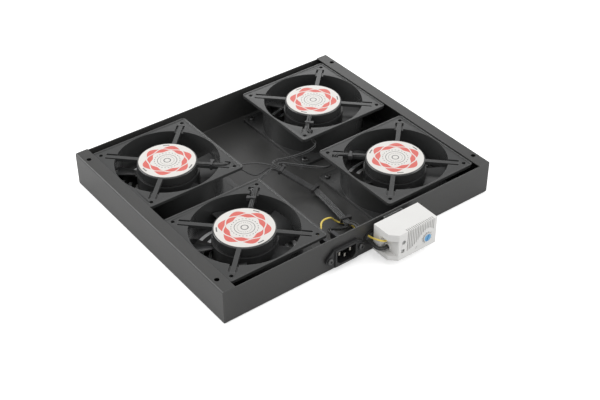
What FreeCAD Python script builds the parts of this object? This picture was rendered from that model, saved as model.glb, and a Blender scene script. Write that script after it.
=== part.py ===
import FreeCAD, Part
import math
import os

# Rack fan tray: a folded steel tray with four axial fans over punched floor
# grilles, a mains inlet and an adjustable thermostat on its front wall, and the
# wiring tied between them.  Millimetres.  X runs along the front wall, Y runs
# from the front wall to the back, Z is up.  The origin is the middle of the
# tray's underside.

Vector = FreeCAD.Vector

# ---------------------------------------------------------------- dimensions
TRAY_WIDTH = 350.0
TRAY_DEPTH = 286.0
TRAY_HEIGHT = 41.0
SHEET = 1.2
BEND_OUTER = 2.0
BEND_INNER = BEND_OUTER - SHEET
FLANGE_WIDTH = 15.0
FLANGE_HOLE_R = 2.65
FLANGE_HOLE_X = 168.5
FLANGE_HOLE_Y = 124.0

FAN_SIZE = 120.0
FAN_HEIGHT = 38.0
FAN_CORNER_R = 4.0
FAN_HOLE_PITCH = 105.0
FAN_HOLE_R = 2.15
FAN_X = 100.5
FAN_Y = 73.2
DUCT_R = 57.5
DUCT_WALL = 2.0
PLATE_LOW = 4.0
PLATE_TOP = 3.5
RIM_WIDTH = 1.6
RIM_HEIGHT = 0.7

HUB_R = 34.5
HUB_WALL = 2.5
HUB_LOW = 2.5
HUB_TOP = 25.8
CAN_R = 33.0
CAN_WALL = 2.5
CAN_LOW = 26.5
CAN_TOP = 37.7
LABEL_R = 31.3
CORE_R = 22.0
CORE_LOW = 12.5
CORE_TOP = 21.5
POLE_R = 27.6
POLE_WIDTH = 18.0
COIL_R = 22.5
COIL_WIDTH = 14.0
COIL_OVERHANG = 3.0
SHAFT_R = 3.0
SHAFT_CLEARANCE = 0.05
TUBE_R = 7.0
TUBE_LOW = 12.2
BOSS_R = 6.5
BOSS_TOP = 11.5
BLADE_COUNT = 5
BLADE_TIP_R = 56.2
BLADE_CAMBER_R = 45.0
BLADE_SHEET = 1.3
BLADE_ARC = math.radians(72)
BLADE_PITCH = 30.0
BLADE_MID_Z = 16.0

STRUT_WIDTH = 4.8
STRUT_LOW = 33.0
STRUT_TOP = 37.0
CHANNEL_WIDTH = 9.5
CHANNEL_FLOOR = 35.0
CHANNEL_START = 50.0
CHANNEL_END = 69.0
LEAD_HOLE_U = 65.6
LEAD_HOLE_W = 6.0
LEAD_HOLE_LENGTH = 6.6
LEAD_HOLE_WIDTH = 3.6
TIE_U = 49.0

SLOT_WIDTH = 4.8
SLOT_RADII = (36.0, 45.5, 55.0)
SLOT_WEBS = 6
WEB_WIDTH = 10.5

WALL_Y = -TRAY_DEPTH / 2
INLET_X = -27.4
INLET_Z = 15.8
INLET_PITCH = 40.0
INLET_OPENING_W = 25.8
INLET_OPENING_H = 19.8
INLET_PLATE = 3.0
INLET_COLLAR = 1.4
REAR_DEPTH = 14.5
LUG_R = 5.2
LUG_HOLE_R = 1.7
SOCKET_HALF_W = 12.0
SOCKET_TOP = 8.0
SOCKET_LOW = -8.2
SOCKET_CUT = 4.0
SOCKET_FLOOR = 12.0
PIN_THICKNESS = 2.0
PIN_HEIGHT = 4.0
PIN_TIP_Y = -1.4
TAB_THICKNESS = 0.8
TAB_WIDTH = 6.3
TAB_END = 22.5
SLEEVE_WIDTH = 4.4
SLEEVE_HEIGHT = 8.0
WALL_SLOT_X = 74.6
WALL_SLOT_Z = 27.3
WIRE_HOLE_X = 6.4
WIRE_HOLE_Z = 19.5
WIRE_HOLE_R = 6.6

CASE_X = 6.3
CASE_LENGTH = 59.0
CASE_BACK_Y = -149.0
CASE_DEPTH = 30.5
CASE_Z = 7.0
CASE_HEIGHT = 33.0
CASE_WALL = 1.6
CASE_CHAMFER = 8.0
CASE_MID_X = CASE_X + CASE_LENGTH / 2
CASE_FRONT_Y = CASE_BACK_Y - CASE_DEPTH
DIAL_X = 52.5
DIAL_Z = 19.6
DIAL_R = 5.2
VENT_COUNT = 16
VENT_FIRST_X = 25.6
VENT_PITCH = 2.3
VENT_WIDTH = 1.0
VENT_WRAP = 4.2
VENT_LOW_Z = 14.0
VENT_RISE = 17.0
VENT_SPREAD = 15.0
DIAL_GAP = 0.35
DIAL_STEM_R = 2.0
TERMINAL_WELL_R = 2.5
RECESS_X = 13.6
RECESS_BACK_Y = -160.0
RECESS_LOW_Z = 12.6
RECESS_TOP_Z = 31.6
RAIL_WIDTH = 35.0
RAIL_WEB = 25.0
RAIL_HEIGHT = 7.5

WIRE_D = 1.5
SUPPLY_D = 2.0
BUNDLE_PITCH = 1.85
BEND_SHARE = 0.45

RAIL_RIVET_Z = (13.0, 29.0)
RAIL_LOW_Z = 5.0
RAIL_LENGTH = 32.0
RIVET_R = 1.6
# Inlet pins, from the inlet's centre: line, neutral, earth.
RECEPTACLE_END = 28.5
INLET_PINS = ((-7.0, 2.0), (7.0, 2.0), (0.0, -2.5))
# Wire entries in the recess wall (Y, Z, radius) and the screw of each (X, Z).
TERMINAL_ENTRIES = ((-164.4, 25.8, 1.6), (-164.3, 16.9, 4.2))
TERMINAL_SCREWS = ((20.8, 28.0), (20.0, 17.2))

# The tied bundle: way points of its centre, the direction across it, and the
# ties, each with its place, its heading and half its inner height.
BUNDLE = (
    (4.0, -6.0, 20.0),
    (17.0, -26.0, 9.5),
    (21.8, -40.0, 6.5),
    (15.5, -85.0, 6.6),
    (12.4, -99.0, 7.0),
)
ACROSS = (0.985, 0.174, 0.0)
TIES = (
    ((0.0, 1.0, 23.0), (8.0, -14.0, -6.0), 2.2),
    ((19.4, -33.0, 8.0), (4.8, -14.0, -3.0), 1.85),
    ((13.6, -93.0, 6.85), (-3.1, -14.0, 0.4), 1.95),
)
# Each fan's column in the bundle, how far before the first tie it joins, and
# its leads' way points between the frame and the bundle, lower lead first.
LEAD_ROUTES = {
    "a": (1, 12.0, ((-27, 14, 18.5), (-15, 13, 21.5)), ((-22, 22, 31),)),
    "b": (0, 8.0, ((-38, -4, 24), (-16, 4.5, 24.5)), ((-38, -4, 26.4), (-16, 4.5, 26.6))),
    "c": (
        2,
        14.0,
        ((44, 8, 24.5), (20, 10, 25), (3, 14.5, 26.5)),
        ((44, 8, 27), (20, 10, 27.2), (3, 14.5, 28.6)),
    ),
    "d": (
        3,
        9.0,
        ((29, -20, 25.5), (14, -2, 25), (5.5, 8.5, 25.2)),
        ((29, -20, 28), (14, -2, 27.2), (5.5, 8.5, 27.1)),
    ),
}

# Fans: name, centre signs, turn about Z that points the lead strut at the
# middle of the tray.
FANS = (
    ("a", -1, 1, -90.0),
    ("b", -1, -1, 0.0),
    ("c", 1, 1, 180.0),
    ("d", 1, -1, 90.0),
)


# ------------------------------------------------------------------- helpers
def box(x0, x1, y0, y1, z0, z1):
    """A box between two opposite corners, given axis by axis."""
    return Part.makeBox(x1 - x0, y1 - y0, z1 - z0, Vector(x0, y0, z0))


def disc(radius, z0, z1, x=0.0, y=0.0):
    """An upright cylinder."""
    return Part.makeCylinder(radius, z1 - z0, Vector(x, y, z0))


def rod(radius, y0, y1, x, z):
    """A cylinder along Y."""
    return Part.makeCylinder(radius, y1 - y0, Vector(x, y0, z), Vector(0, 1, 0))


def ring(outer, inner, z0, z1):
    """An upright tube about the Z axis."""
    return disc(outer, z0, z1).cut(disc(inner, z0 - 1, z1 + 1))


def prism(points, direction):
    """A polygon swept along a vector."""
    corners = [Vector(*p) for p in points]
    return Part.Face(Part.makePolygon(corners + corners[:1])).extrude(Vector(*direction))


def fused(shapes):
    """One solid from touching shapes."""
    whole = shapes[0]
    if len(shapes) > 1:
        whole = whole.fuse(shapes[1:])
    return whole.removeSplitter()


def edges_along(shape, axis, keep):
    """Straight edges parallel to an axis whose midpoint passes a test."""
    found = []
    for edge in shape.Edges:
        if edge.Curve.TypeId != "Part::GeomLine":
            continue
        step = edge.Vertexes[1].Point - edge.Vertexes[0].Point
        if abs(abs(step.normalize().dot(axis)) - 1) < 1e-6 and keep(edge.CenterOfMass):
            found.append(edge)
    return found


def in_fan(shape, fan):
    """Moves a shape from a fan's own frame to its place on the tray floor."""
    name, sign_x, sign_y, turn = fan
    placed = shape.copy()
    placed.rotate(Vector(0, 0, 0), Vector(0, 0, 1), turn)
    placed.translate(Vector(sign_x * FAN_X, sign_y * FAN_Y, SHEET))
    return placed


def diagonal(u, w, z):
    """A fan point from its distance u along the lead strut and w beside it."""
    root = math.sqrt(0.5)
    return Vector((u - w) * root, (u + w) * root, z)


def turned_box(u0, u1, w0, w1, z0, z1, turn):
    """A box laid along a strut that points turn degrees from +X."""
    shape = box(u0, u1, w0, w1, z0, z1)
    shape.rotate(Vector(0, 0, 0), Vector(0, 0, 1), turn)
    return shape


# ---------------------------------------------------------------- steel tray
def folded_shell():
    """The tray blank with its bends: four walls and two inward flanges."""
    half_w = TRAY_WIDTH / 2
    half_d = TRAY_DEPTH / 2
    under = TRAY_HEIGHT - SHEET
    outer = bent_block(half_w, half_d, 0, TRAY_HEIGHT, BEND_OUTER)
    inner = bent_block(half_w - SHEET, half_d - SHEET, SHEET, under, BEND_INNER)
    lip = half_w - FLANGE_WIDTH
    mouth = box(-lip, lip, -half_d - 1, half_d + 1, under, TRAY_HEIGHT + 1)
    return outer.cut([inner, mouth])


def bent_block(half_w, half_d, low, high, radius):
    """A block whose long side edges, and its front and back edges at the floor,
    are rounded, with the bends mitred where they meet."""
    block = box(-half_w, half_w, -half_d, half_d, low, high)
    sides = block.makeFillet(radius, edges_along(block, Vector(0, 1, 0), lambda m: True))
    ends = block.makeFillet(radius, edges_along(block, Vector(1, 0, 0), lambda m: m.z < low + 1))
    return sides.common(ends)


def arc_slot(radius, start, end):
    """A punched slot that follows a circle between two angles in degrees."""
    sector = ring(radius + SLOT_WIDTH / 2, radius - SLOT_WIDTH / 2, -1, SHEET + 1)
    a = math.radians(start)
    b = math.radians(end)
    far = 90.0
    wedge = prism(
        [
            (0, 0, -2),
            (far * math.cos(a), far * math.sin(a), -2),
            (far * math.cos(b), far * math.sin(b), -2),
        ],
        (0, 0, 6),
    )
    return sector.common(wedge)


def grille_slots():
    """All slots of one fan grille, about the Z axis."""
    slots = []
    pitch = 360.0 / SLOT_WEBS
    for radius in SLOT_RADII:
        web = math.degrees(WEB_WIDTH / 2 / radius)
        for number in range(SLOT_WEBS):
            slots.append(arc_slot(radius, number * pitch + web, (number + 1) * pitch - web))
    return slots


def tray_shell():
    """The folded tray with its grilles and every hole."""
    cuts = []
    slots = Part.makeCompound(grille_slots())
    for name, sign_x, sign_y, turn in FANS:
        placed = slots.copy()
        placed.translate(Vector(sign_x * FAN_X, sign_y * FAN_Y, 0))
        cuts.extend(placed.Solids)
        for hole_x, hole_y in fan_hole_places():
            x = sign_x * FAN_X + hole_x
            y = sign_y * FAN_Y + hole_y
            cuts.append(disc(FAN_HOLE_R, -1, SHEET + 1, x, y))
    for side_x in (-1, 1):
        for side_y in (-1, 1):
            x = side_x * FLANGE_HOLE_X
            y = side_y * FLANGE_HOLE_Y
            cuts.append(disc(FLANGE_HOLE_R, TRAY_HEIGHT - 5, TRAY_HEIGHT + 1, x, y))
    low = WALL_Y - 1
    high = WALL_Y + SHEET + 1
    half_w = INLET_OPENING_W / 2
    half_h = INLET_OPENING_H / 2
    cuts.append(box(INLET_X - half_w, INLET_X + half_w, low, high, INLET_Z - half_h, INLET_Z + half_h))
    for side in (-1, 1):
        cuts.append(rod(LUG_HOLE_R, low, high, INLET_X + side * INLET_PITCH / 2, INLET_Z))
    cuts.append(rod(WIRE_HOLE_R, low, high, WIRE_HOLE_X, WIRE_HOLE_Z))
    for z in RAIL_RIVET_Z:
        cuts.append(rod(RIVET_R, low, high, CASE_MID_X, z))
    cuts.append(box(WALL_SLOT_X, WALL_SLOT_X + 3.2, low, high, WALL_SLOT_Z, WALL_SLOT_Z + 1.6))
    return folded_shell().cut(cuts)


def fan_hole_places():
    """The four corner holes of a fan, in its own frame."""
    reach = FAN_HOLE_PITCH / 2
    return [(sx * reach, sy * reach) for sx in (-1, 1) for sy in (-1, 1)]


# ----------------------------------------------------------------------- fan
def square_plate(z0, z1):
    """A rounded square flange of the fan frame with its four corner holes."""
    half = FAN_SIZE / 2
    plate = box(-half, half, -half, half, z0, z1)
    plate = plate.makeFillet(FAN_CORNER_R, edges_along(plate, Vector(0, 0, 1), lambda m: True))
    holes = [disc(FAN_HOLE_R, z0 - 1, z1 + 1, x, y) for x, y in fan_hole_places()]
    return plate.cut(holes)


def fan_frame():
    """The die-cast frame: two square flanges, the duct, four struts and the
    motor can they carry, with the bearing tube inside it."""
    solid = square_plate(0, PLATE_LOW)
    solid = solid.fuse(square_plate(FAN_HEIGHT - PLATE_TOP, FAN_HEIGHT))
    solid = solid.fuse(disc(DUCT_R + DUCT_WALL, 1, FAN_HEIGHT - 1))
    within = FAN_SIZE / 2 - RIM_WIDTH
    pan = box(-within, within, -within, within, FAN_HEIGHT - RIM_HEIGHT, FAN_HEIGHT + 1)
    solid = solid.cut([disc(DUCT_R, -1, FAN_HEIGHT + 1), pan])
    wide = CHANNEL_WIDTH / 2
    thin = STRUT_WIDTH / 2
    channels = []
    struts = []
    for number in range(4):
        turn = 45 + 90 * number
        channels.append(
            turned_box(CHANNEL_START, CHANNEL_END, -wide, wide, CHANNEL_FLOOR, FAN_HEIGHT + 1, turn)
        )
        struts.append(turned_box(CAN_R - 1, CHANNEL_END + 0.4, -thin, thin, STRUT_LOW, STRUT_TOP, turn))
    hole = turned_box(
        LEAD_HOLE_U - LEAD_HOLE_LENGTH / 2,
        LEAD_HOLE_U + LEAD_HOLE_LENGTH / 2,
        LEAD_HOLE_W - LEAD_HOLE_WIDTH / 2,
        LEAD_HOLE_W + LEAD_HOLE_WIDTH / 2,
        FAN_HEIGHT - PLATE_TOP - 1,
        FAN_HEIGHT + 1,
        45,
    )
    solid = solid.cut(channels + [hole])
    can = disc(CAN_R, CAN_LOW, CAN_TOP)
    can = can.makeChamfer(0.8, [e for e in can.Edges if is_circle_at(e, CAN_TOP)])
    can = can.cut(disc(CAN_R - CAN_WALL, CAN_LOW - 1, CAN_TOP - 2))
    tube = disc(TUBE_R, TUBE_LOW, CAN_TOP - 1)
    whole = fused([solid, can, tube] + struts)
    return whole.cut(disc(SHAFT_R + SHAFT_CLEARANCE, TUBE_LOW - 1, CAN_TOP - 2))


def is_circle_at(edge, z):
    """True for a circular edge whose centre lies at height z."""
    return edge.Curve.TypeId == "Part::GeomCircle" and abs(edge.Curve.Center.z - z) < 1e-4


def fan_blade():
    """One blade: a cambered sheet set across the duct, trimmed to the hub, the
    tip circle and a swept outline."""
    outer = Part.makeCylinder(BLADE_CAMBER_R, 60, Vector(0, 0, 0), Vector(1, 0, 0))
    inner = Part.makeCylinder(BLADE_CAMBER_R - BLADE_SHEET, 60, Vector(0, 0, 0), Vector(1, 0, 0))
    sheet = outer.cut(inner)
    half = BLADE_ARC / 2
    wedge = prism(
        [
            (0, 0, 0),
            (0, -80 * math.sin(half), 80 * math.cos(half)),
            (0, 80 * math.sin(half), 80 * math.cos(half)),
        ],
        (60, 0, 0),
    )
    sheet = sheet.common(wedge)
    sheet.translate(Vector(0, 0, -BLADE_CAMBER_R))
    sheet.rotate(Vector(0, 0, 0), Vector(1, 0, 0), BLADE_PITCH)
    sheet.translate(Vector(0, 0, BLADE_MID_Z))
    outline = prism([(30, -13, 0), (62, -30, 0), (62, 24, 0), (30, 12, 0)], (0, 0, 30))
    span = ring(BLADE_TIP_R, HUB_R - 1.0, HUB_LOW + 1.5, HUB_TOP - 0.5)
    return sheet.common(outline).common(span)


def fan_impeller():
    """The hub cup with its boss and the cambered blades around it."""
    hub = disc(HUB_R, HUB_LOW, HUB_TOP)
    hub = hub.makeChamfer(1.5, [e for e in hub.Edges if is_circle_at(e, HUB_LOW)])
    hub = hub.cut(disc(HUB_R - HUB_WALL, HUB_LOW + 2.5, HUB_TOP + 1))
    boss = disc(BOSS_R, HUB_LOW + 1, BOSS_TOP)
    blade = fan_blade()
    blades = []
    for number in range(BLADE_COUNT):
        copy = blade.copy()
        copy.rotate(Vector(0, 0, 0), Vector(0, 0, 1), number * 360.0 / BLADE_COUNT)
        blades.append(copy)
    whole = fused([hub, boss] + blades)
    return whole.cut(disc(SHAFT_R, HUB_LOW + 2.5, BOSS_TOP + 1))


def fan_shaft():
    """The steel shaft, pressed into the hub's boss."""
    return disc(SHAFT_R, HUB_LOW + 2.5, CAN_TOP - 2.3)


def fan_stator():
    """The laminated core and its windings, fixed on the bearing tube."""
    core = disc(CORE_R, CORE_LOW, CORE_TOP)
    low = CORE_LOW - COIL_OVERHANG
    high = CORE_TOP + COIL_OVERHANG
    half_pole = POLE_WIDTH / 2
    half_coil = COIL_WIDTH / 2
    poles = []
    coils = []
    for number in range(4):
        turn = 90 * number
        poles.append(turned_box(CORE_R - 4, POLE_R, -half_pole, half_pole, CORE_LOW, CORE_TOP, turn))
        coils.append(turned_box(13, COIL_R, -half_coil, half_coil, low, high, turn))
    whole = fused([core] + poles + coils)
    return whole.cut(disc(TUBE_R + 0.02, 0, 40))


def fan_label():
    """The round label that lies on the motor can."""
    return disc(LABEL_R, CAN_TOP, CAN_TOP + 0.3)


def strut_tie():
    """A cable tie around the lead strut and the two leads on it."""
    half = STRUT_WIDTH / 2 + 0.1
    top = STRUT_TOP + WIRE_D + 0.2
    outer = box(TIE_U - 1.4, TIE_U + 1.4, -half - 0.9, half + 0.9, STRUT_LOW - 1, top + 0.8)
    inner = box(TIE_U - 2, TIE_U + 2, -half, half, STRUT_LOW - 0.1, top)
    head = box(TIE_U - 2.2, TIE_U + 2.2, half + 0.9, half + 4.0, top - 3.4, top + 0.8)
    band = fused([outer, head]).cut(inner)
    band.rotate(Vector(0, 0, 0), Vector(0, 0, 1), 45)
    return band


# ---------------------------------------------------------------- mains inlet
def inlet_plate_outline(half_w, half_h, lug_r):
    """The inlet's face: a rectangle that tapers to a round lug at each side."""
    lug_x = INLET_PITCH / 2
    reach = math.hypot(half_w - lug_x, half_h)
    slope = math.atan2(half_h, half_w - lug_x) - math.acos(lug_r / reach)
    tangent = (lug_x + lug_r * math.cos(slope), lug_r * math.sin(slope))
    edges = []
    top_right = Vector(half_w, 0, half_h)
    lug_top = Vector(tangent[0], 0, tangent[1])
    lug_end = Vector(lug_x + lug_r, 0, 0)
    edges.append(Part.makeLine(top_right, lug_top))
    edges.append(Part.Arc(lug_top, lug_end, mirrored_z(lug_top)).toShape())
    edges.append(Part.makeLine(mirrored_z(lug_top), mirrored_z(top_right)))
    edges.append(Part.makeLine(mirrored_z(top_right), -top_right))
    edges.append(Part.makeLine(-top_right, -lug_top))
    edges.append(Part.Arc(-lug_top, -lug_end, mirrored_z(-lug_top)).toShape())
    edges.append(Part.makeLine(mirrored_z(-lug_top), mirrored_z(-top_right)))
    edges.append(Part.makeLine(mirrored_z(-top_right), top_right))
    return Part.Face(Part.Wire(edges))


def mirrored_z(point):
    """The point mirrored in the plane Z = 0."""
    return Vector(point.x, point.y, -point.z)


def at_inlet(shape):
    """Moves a shape made about the inlet's centre line to the front wall."""
    shape.translate(Vector(INLET_X, WALL_Y, INLET_Z))
    return shape


def inlet_body():
    """The moulded inlet: face plate with lugs, collar, socket and rear body."""
    plate = inlet_plate_outline(15.0, 11.6, LUG_R).extrude(Vector(0, -INLET_PLATE, 0))
    collar = box(-14.2, 14.2, -INLET_PLATE - INLET_COLLAR, -INLET_PLATE, -10.8, 10.8)
    rear_w = INLET_OPENING_W / 2 - 0.2
    rear_h = INLET_OPENING_H / 2 - 0.2
    rear = box(-rear_w, rear_w, 0, REAR_DEPTH, -rear_h, rear_h)
    corner = SOCKET_HALF_W - SOCKET_CUT
    outline = [
        (-SOCKET_HALF_W, SOCKET_TOP),
        (SOCKET_HALF_W, SOCKET_TOP),
        (SOCKET_HALF_W, SOCKET_LOW + SOCKET_CUT),
        (corner, SOCKET_LOW),
        (-corner, SOCKET_LOW),
        (-SOCKET_HALF_W, SOCKET_LOW + SOCKET_CUT),
    ]
    front = -INLET_PLATE - INLET_COLLAR - 1
    socket = prism([(x, front, z) for x, z in outline], (0, SOCKET_FLOOR - front, 0))
    cuts = [socket]
    for side in (-1, 1):
        cuts.append(rod(LUG_HOLE_R, -INLET_PLATE - 1, 1, side * INLET_PITCH / 2, 0))
    half_w = PIN_THICKNESS / 2
    half_h = PIN_HEIGHT / 2
    for x, z in INLET_PINS:
        cuts.append(box(x - half_w, x + half_w, SOCKET_FLOOR - 1, REAR_DEPTH + 1, z - half_h, z + half_h))
    return at_inlet(fused([plate, collar, rear]).cut(cuts))


def inlet_pins():
    """Three upright flat pins, each one piece with its rear tab."""
    half_w = PIN_THICKNESS / 2
    half_h = PIN_HEIGHT / 2
    thin = TAB_THICKNESS / 2
    wide = TAB_WIDTH / 2
    pins = []
    for x, z in INLET_PINS:
        pin = box(x - half_w, x + half_w, PIN_TIP_Y, REAR_DEPTH, z - half_h, z + half_h)
        tab = box(x - thin, x + thin, REAR_DEPTH, TAB_END, z - wide, z + wide)
        pins.append(at_inlet(fused([pin, tab])))
    return Part.makeCompound(pins)


def inlet_receptacles():
    """The insulated push-on receptacles on the line and neutral tabs."""
    sleeves = []
    half_w = SLEEVE_WIDTH / 2
    half_h = SLEEVE_HEIGHT / 2
    thin = TAB_THICKNESS / 2 + 0.05
    wide = TAB_WIDTH / 2 + 0.05
    for x, z in INLET_PINS[:2]:
        outer = box(x - half_w, x + half_w, REAR_DEPTH + 1, RECEPTACLE_END, z - half_h, z + half_h)
        slot = box(x - thin, x + thin, REAR_DEPTH, TAB_END + 1.5, z - wide, z + wide)
        sleeves.append(at_inlet(outer.cut(slot)))
    return Part.makeCompound(sleeves)


def wire_grommet():
    """The rubber grommet in the wire hole of the front wall."""
    body = disc(WIRE_HOLE_R + 1.5, -1.5, SHEET + 1.5)
    groove = ring(WIRE_HOLE_R + 3, WIRE_HOLE_R - 0.05, 0, SHEET)
    body = body.cut(groove).cut(disc(WIRE_HOLE_R - 1.2, -3, 5))
    body.rotate(Vector(0, 0, 0), Vector(1, 0, 0), -90)
    body.translate(Vector(WIRE_HOLE_X, WALL_Y, WIRE_HOLE_Z))
    return body


# ----------------------------------------------------------------- thermostat
def case_block(inset):
    """The thermostat's outer form, its front left edge chamfered, shrunk by an
    inset on every side."""
    x0 = CASE_X + inset
    x1 = CASE_X + CASE_LENGTH - inset
    y0 = CASE_FRONT_Y + inset
    y1 = CASE_BACK_Y
    cut = CASE_CHAMFER - inset * (2 - math.sqrt(2))
    z0 = CASE_Z + inset
    outline = [(x0, y1, z0), (x0, y0 + cut, z0), (x0 + cut, y0, z0), (x1, y0, z0), (x1, y1, z0)]
    return prism(outline, (0, 0, CASE_HEIGHT - 2 * inset))


def vent_floor(x):
    """Height at which a vent slot ends: a bell-shaped line over the dial."""
    return VENT_LOW_Z + VENT_RISE * math.exp(-(((x - DIAL_X) / VENT_SPREAD) ** 2))


def thermostat_case():
    """The moulded case: open at the back, with the terminal recess, the vent
    slots that wrap over its top edge, the dial seat and two screw openings."""
    solid = case_block(0)
    edges = edges_along(solid, Vector(0, 0, 1), lambda m: m.x > CASE_X + 40 and m.y < CASE_BACK_Y - 1)
    solid = solid.makeFillet(1.0, edges)
    hollow = case_block(CASE_WALL)
    hollow = hollow.cut(
        box(0, RECESS_X + CASE_WALL, -200, RECESS_BACK_Y + CASE_WALL, RECESS_LOW_Z - CASE_WALL, 99)
    )
    recess = box(CASE_X - 1, RECESS_X, -200, RECESS_BACK_Y, RECESS_LOW_Z, RECESS_TOP_Z)
    cuts = [hollow, recess]
    top = CASE_Z + CASE_HEIGHT
    for number in range(VENT_COUNT):
        x = VENT_FIRST_X + number * VENT_PITCH
        x1 = x + VENT_WIDTH
        inner = CASE_FRONT_Y + CASE_WALL + 0.1
        front = box(x, x1, CASE_FRONT_Y - 1, inner, vent_floor(x), top + 1)
        over = box(x, x1, CASE_FRONT_Y - 1, CASE_FRONT_Y + VENT_WRAP, top - CASE_WALL - 0.1, top + 1)
        cuts.append(front.fuse(over))
    cuts.append(rod(DIAL_R + DIAL_GAP, CASE_FRONT_Y - 1, CASE_FRONT_Y + 0.9, DIAL_X, DIAL_Z))
    cuts.append(rod(DIAL_STEM_R + 0.4, CASE_FRONT_Y - 1, CASE_FRONT_Y + 3, DIAL_X, DIAL_Z))
    for x, z in TERMINAL_SCREWS:
        cuts.append(rod(TERMINAL_WELL_R, CASE_FRONT_Y - 1, CASE_FRONT_Y + 3, x, z))
    slit = box(-0.45, 0.45, CASE_FRONT_Y - 1, CASE_FRONT_Y + 3, -1.5, 1.5)
    slit.rotate(Vector(0, 0, 0), Vector(0, 1, 0), 35)
    slit.translate(Vector(38.1, 0, 12.8))
    cuts.append(slit)
    for y, z, radius in TERMINAL_ENTRIES:
        cuts.append(entry_cylinder(radius, RECESS_X - 1, RECESS_X + 3, y, z))
    half_rail = RAIL_WIDTH / 2 + 0.5
    rail_way = box(CASE_MID_X - half_rail, CASE_MID_X + half_rail, CASE_BACK_Y - 2, 0, 0, CASE_Z + 4)
    cuts.append(rail_way)
    return solid.cut(cuts)


def entry_cylinder(radius, x0, x1, y, z):
    """A cylinder along X."""
    return Part.makeCylinder(radius, x1 - x0, Vector(x0, y, z), Vector(1, 0, 0))


def thermostat_back():
    """The back plate of the case with its two rail hooks."""
    x0 = CASE_X + CASE_WALL + 0.1
    x1 = CASE_X + CASE_LENGTH - CASE_WALL - 0.1
    z0 = CASE_Z + CASE_WALL + 0.1
    z1 = CASE_Z + CASE_HEIGHT - CASE_WALL - 0.1
    plate = box(x0, x1, CASE_BACK_Y - 4.0, CASE_BACK_Y - 2.0, z0, z1)
    left = CASE_MID_X - RAIL_WIDTH / 2
    right = CASE_MID_X + RAIL_WIDTH / 2
    lip_y = WALL_Y - RAIL_HEIGHT
    pieces = [plate]
    for z in (CASE_Z + 9, CASE_Z + 24):
        pieces.append(box(left - 2.4, left - 0.3, CASE_BACK_Y - 2.5, lip_y + 3.0, z - 3, z + 3))
        pieces.append(box(left - 2.4, left + 1.8, lip_y + 1.3, lip_y + 3.0, z - 3, z + 3))
    pieces.append(box(right + 0.3, right + 2.6, CASE_BACK_Y - 2.5, lip_y + 3.0, 20, 38.2))
    pieces.append(box(right - 1.8, right + 2.6, lip_y + 1.3, lip_y + 3.0, 20, 38.2))
    return fused(pieces)


def thermostat_dial():
    """The setting dial: a slotted knob on a stem that enters the switch."""
    knob = rod(DIAL_R, CASE_FRONT_Y - 1.2, CASE_FRONT_Y + 0.6, DIAL_X, DIAL_Z)
    stem = rod(DIAL_STEM_R, CASE_FRONT_Y, CASE_FRONT_Y + 9.0, DIAL_X, DIAL_Z)
    slot = box(-0.6, 0.6, CASE_FRONT_Y - 2, CASE_FRONT_Y - 0.3, -3.9, 3.9)
    slot.rotate(Vector(0, 0, 0), Vector(0, 1, 0), 20)
    slot.translate(Vector(DIAL_X, 0, DIAL_Z))
    return knob.fuse(stem).cut(slot).removeSplitter()


def thermostat_switch():
    """The snap switch behind the dial, with its bimetal strip and two legs
    that stand on the back plate."""
    y0 = CASE_FRONT_Y + 7.0
    block = box(DIAL_X - 8, DIAL_X + 8, y0, y0 + 9, DIAL_Z - 7, DIAL_Z + 7)
    block = block.cut(rod(DIAL_STEM_R + 0.05, y0 - 1, y0 + 4, DIAL_X, DIAL_Z))
    strip = box(DIAL_X - 24, DIAL_X - 7, y0 + 5, y0 + 5.8, DIAL_Z - 3, DIAL_Z + 3)
    post = box(DIAL_X - 26, DIAL_X - 22, y0 + 2, CASE_BACK_Y - 4.0, DIAL_Z - 4, DIAL_Z + 4)
    leg = box(DIAL_X - 3, DIAL_X + 3, y0 + 8, CASE_BACK_Y - 4.0, DIAL_Z - 4, DIAL_Z + 4)
    return fused([block, strip, post, leg])


def thermostat_terminals():
    """The brass wire clamps with their screws, and the entry collars."""
    pieces = []
    for (y, z, radius), (x, screw_z) in zip(TERMINAL_ENTRIES, TERMINAL_SCREWS):
        block_y0 = CASE_FRONT_Y + 6.5
        block = box(RECESS_X + 2.2, x + 3.6, block_y0, y + 4.5, screw_z - 3.4, screw_z + 3.4)
        block = block.cut(entry_cylinder(radius - 0.6, RECESS_X, x + 2.5, y, z))
        screw = rod(2.0, CASE_FRONT_Y + 1.0, block_y0, x, screw_z)
        screw = screw.cut(box(x - 3, x + 3, CASE_FRONT_Y, CASE_FRONT_Y + 2.2, screw_z - 0.4, screw_z + 0.4))
        pieces.append(fused([block, screw]))
    return Part.makeCompound(pieces)


def entry_collars():
    """The round wire entry that stands out of the recess wall."""
    y, z, radius = TERMINAL_ENTRIES[1]
    outer = entry_cylinder(radius - 0.02, RECESS_X - 1.4, RECESS_X + 1.8, y, z)
    return outer.cut(entry_cylinder(radius - 1.1, RECESS_X - 2, RECESS_X + 3, y, z))


def din_rail():
    """A short top-hat rail that stands upright on the front wall."""
    half_web = RAIL_WEB / 2
    half_lip = RAIL_WIDTH / 2
    low = WALL_Y - RAIL_HEIGHT
    points = [
        (-half_lip, low),
        (-half_web + 1, low),
        (-half_web + 1, WALL_Y - 1),
        (half_web - 1, WALL_Y - 1),
        (half_web - 1, low),
        (half_lip, low),
        (half_lip, low + 1),
        (half_web, low + 1),
        (half_web, WALL_Y),
        (-half_web, WALL_Y),
        (-half_web, low + 1),
        (-half_lip, low + 1),
    ]
    rail = prism([(CASE_MID_X + x, y, RAIL_LOW_Z) for x, y in points], (0, 0, RAIL_LENGTH))
    cuts = [rod(RIVET_R + 0.02, WALL_Y - 3, WALL_Y + 1, CASE_MID_X, z) for z in RAIL_RIVET_Z]
    return rail.cut(cuts)


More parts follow.
